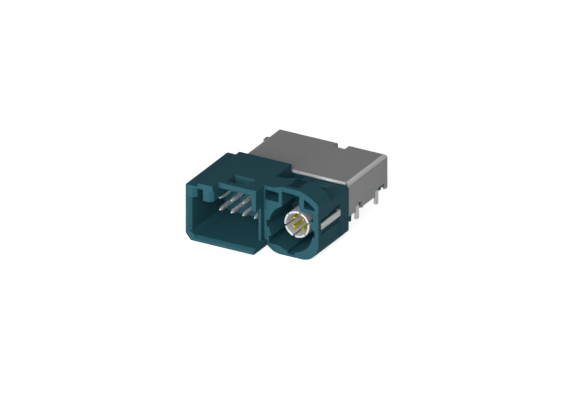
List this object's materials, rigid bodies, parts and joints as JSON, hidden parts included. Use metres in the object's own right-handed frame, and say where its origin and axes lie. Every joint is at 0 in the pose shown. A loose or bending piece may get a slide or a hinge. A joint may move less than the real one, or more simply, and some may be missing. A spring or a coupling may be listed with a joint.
{
  "type": "high-speed data connector",
  "caption": "Right-angle board header with a keyed signal port and a round keyed shielded data port side by side, under a folded metal shield cover.",
  "frame": {"origin": "on the board plane, under the housing's middle rail, midway along the footprint", "axes": "+Z away from the board, -Y the way both ports face, +X towards the data port"},
  "size_m": [0.026, 0.0323, 0.0143],
  "materials": {
    "water_blue_plastic": "moulded satin",
    "black_plastic": "moulded",
    "tinned_sheet": "satin tin plate",
    "die_cast_zinc": "nickel plated casting",
    "sprung_strip": "tin plated spring sheet",
    "plated_brass": "nickel plated",
    "pale_insulator": "moulded",
    "gold_contact": "gold plated",
    "tinned_pin": "tin plated"
  },
  "bodies": {
    "root": {"housing": "water_blue_plastic", "shield_cover": "tinned_sheet", "data_outer_conductor": "plated_brass", "data_shell": "die_cast_zinc", "data_shell_cap": "die_cast_zinc", "spring_strip": "sprung_strip", "data_front_insulator": "pale_insulator", "data_rear_insulator": "pale_insulator", "pin_comb": "black_plastic", "data_contact_1": "gold_contact", "data_contact_2": "gold_contact", "data_contact_3": "gold_contact", "data_contact_4": "gold_contact", "signal_pin_1": "tinned_pin", "signal_pin_2": "tinned_pin", "signal_pin_3": "tinned_pin", "signal_pin_4": "tinned_pin", "signal_pin_5": "tinned_pin", "signal_pin_6": "tinned_pin", "signal_pin_7": "tinned_pin", "signal_pin_8": "tinned_pin"}
  },
  "joints": []
}
